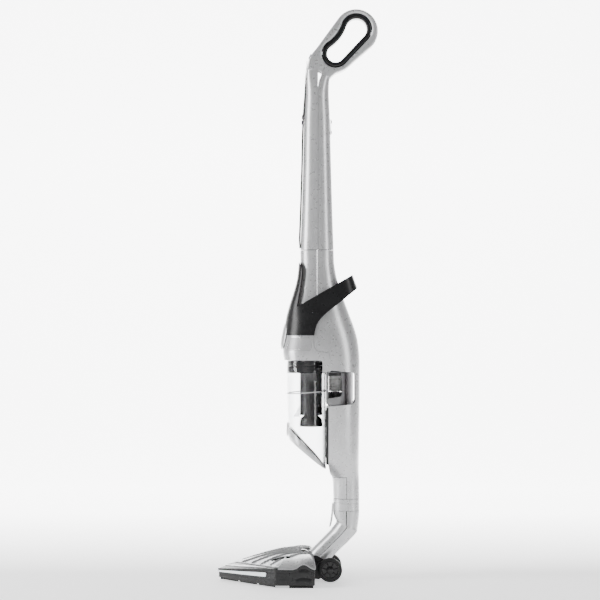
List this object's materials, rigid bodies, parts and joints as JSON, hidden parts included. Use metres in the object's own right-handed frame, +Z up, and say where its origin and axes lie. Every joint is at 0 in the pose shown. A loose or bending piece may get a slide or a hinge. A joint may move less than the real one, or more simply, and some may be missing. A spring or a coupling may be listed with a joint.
{
  "type": "cordless stick vacuum",
  "caption": "Cordless upright stick vacuum: looped handle over a slim tube, clear cyclone dust container, swivelling neck and a triangular lit floor head on two small wheels.",
  "frame": {"origin": "on the floor at the middle of the bounding box", "axes": "+Z up to the handle, -X the way the cleaner faces (head tip), +Y its left side across the head"},
  "size_m": [0.3088, 0.264, 1.0997],
  "materials": {
    "silver_plastic": "satin silver-grey",
    "black_plastic": "semi-gloss black",
    "soft_black": "soft matt black",
    "rubber": "matt black rubber",
    "clear_plastic": "clear, polished",
    "smoked_plastic": "smoked, semi-gloss",
    "grey_plastic": "satin mid grey",
    "lamp_lens": "milky white lens",
    "steel": "plain steel",
    "cast_aluminium": "cast and machined",
    "filter_fleece": "white pleated fleece",
    "battery_wrap": "shrink-wrapped cells"
  },
  "bodies": {
    "head": {"head_base": "black_plastic", "head_top_cover": "silver_plastic", "front_deck": "black_plastic", "lamp_lens": "lamp_lens", "nose_trim": "silver_plastic", "front_bumper": "rubber", "sole_plate": "black_plastic", "brush_motor": "steel", "drive_belt": "rubber", "side_pad_left": "rubber", "side_pad_right": "rubber", "wheel_axle": "steel"},
    "brush": {"brush_roller": "grey_plastic", "brush_bristles": "soft_black"},
    "pinion": {"motor_pinion": "steel"},
    "latch_left": {"brush_latch_left": "grey_plastic"},
    "latch_right": {"brush_latch_right": "grey_plastic"},
    "wheel_left": {"wheel_hub_left": "black_plastic", "wheel_tyre_left": "rubber"},
    "wheel_right": {"wheel_hub_right": "black_plastic", "wheel_tyre_right": "rubber"},
    "yoke": {"swivel_yoke": "black_plastic"},
    "main": {"elbow_front_shell": "silver_plastic", "elbow_rear_shell": "silver_plastic", "neck_collar": "silver_plastic", "suction_hose": "soft_black", "duct_front_cover": "silver_plastic", "rear_housing": "silver_plastic", "body_front_shell": "silver_plastic", "grip_recess": "silver_plastic", "bay_wall": "black_plastic", "motor_bulkhead": "black_plastic", "battery_pack": "battery_wrap", "motor_can": "cast_aluminium", "housing_bolt": "steel", "carry_band": "black_plastic", "vent_housing": "silver_plastic", "vent_grille_left": "grey_plastic", "vent_grille_right": "grey_plastic", "handle_front_shell": "silver_plastic", "handle_rear_shell": "silver_plastic", "grip_ring": "soft_black", "control_strip": "black_plastic", "rest_pad": "rubber"},
    "lever": {"neck_release_lever": "silver_plastic"},
    "rotor": {"fan_rotor": "grey_plastic"},
    "container": {"dust_bin": "clear_plastic", "cyclone_cap": "black_plastic", "cyclone_shroud": "smoked_plastic", "cyclone_screen": "black_plastic", "inlet_flap": "clear_plastic", "container_frame": "grey_plastic", "pleated_filter": "filter_fleece"},
    "lid": {"bin_lid": "silver_plastic", "lid_seal": "rubber"},
    "lid_clip": {"lid_latch": "grey_plastic"},
    "front_button": {"container_release_button": "silver_plastic"},
    "power_switch": {"power_slider": "black_plastic"},
    "boost_key": {"boost_button": "grey_plastic"},
    "brush_key": {"brush_button": "grey_plastic"}
  },
  "joints": [
    {"name": "brush_spin", "type": "hinge", "parent": "head", "child": "brush", "pos_m": [-0.016, 0, 0.0194], "axis": [0, 1, 0], "continuous": true},
    {"name": "pinion_spin", "type": "hinge", "parent": "head", "child": "pinion", "pos_m": [0.019, 0, 0.0194], "axis": [0, 1, 0], "continuous": true},
    {"name": "brush_latch_left_slide", "type": "slide", "parent": "head", "child": "latch_left", "axis": [-1, 0, 0], "range_m": [0, 0.008]},
    {"name": "brush_latch_right_slide", "type": "slide", "parent": "head", "child": "latch_right", "axis": [-1, 0, 0], "range_m": [0, 0.008]},
    {"name": "wheel_left_spin", "type": "hinge", "parent": "head", "child": "wheel_left", "pos_m": [0.0622, 0, 0.023], "axis": [0, 1, 0], "continuous": true},
    {"name": "wheel_right_spin", "type": "hinge", "parent": "head", "child": "wheel_right", "pos_m": [0.0622, 0, 0.023], "axis": [0, 1, 0], "continuous": true},
    {"name": "head_pitch", "type": "hinge", "parent": "head", "child": "yoke", "pos_m": [0.0622, 0, 0.023], "axis": [0, 1, 0], "range_deg": [0, 60]},
    {"name": "neck_swivel", "type": "hinge", "parent": "yoke", "child": "main", "pos_m": [0.034, 0, 0.0392], "axis": [0.7071, 0, 0.7071], "range_deg": [-60, 60]},
    {"name": "neck_lever_press", "type": "hinge", "parent": "main", "child": "lever", "pos_m": [0.0665, 0, 0.128], "axis": [0, -1, 0], "range_deg": [0, 10], "stiffness_Nm_per_rad": 0.4},
    {"name": "fan_spin", "type": "hinge", "parent": "main", "child": "rotor", "pos_m": [0.042, 0, 0.432], "axis": [0, 0, 1], "continuous": true},
    {"name": "container_slide", "type": "slide", "parent": "main", "child": "container", "axis": [-1, 0, 0], "range_m": [0, 0.09]},
    {"name": "lid_open", "type": "hinge", "parent": "container", "child": "lid", "pos_m": [0.0545, 0, 0.2214], "axis": [0, -1, 0], "range_deg": [0, 60]},
    {"name": "lid_clip_open", "type": "hinge", "parent": "lid", "child": "lid_clip", "pos_m": [-0.0203, 0, 0.28], "axis": [0, -1, 0], "range_deg": [0, 20], "stiffness_Nm_per_rad": 0.05},
    {"name": "front_button_press", "type": "slide", "parent": "main", "child": "front_button", "axis": [1, 0, 0], "range_m": [0, 0.0008], "stiffness_N_per_m": 800},
    {"name": "power_slide", "type": "slide", "parent": "main", "child": "power_switch", "axis": [0.4706, 0, 0.8824], "range_m": [0, 0.003]},
    {"name": "boost_press", "type": "slide", "parent": "main", "child": "boost_key", "axis": [1, 0, 0], "range_m": [0, 0.001], "stiffness_N_per_m": 400},
    {"name": "brush_press", "type": "slide", "parent": "main", "child": "brush_key", "axis": [1, 0, 0], "range_m": [0, 0.001], "stiffness_N_per_m": 400}
  ],
  "couplings": [
    {"joint": "pinion_spin", "follows": "brush_spin", "ratio": 2}
  ]
}
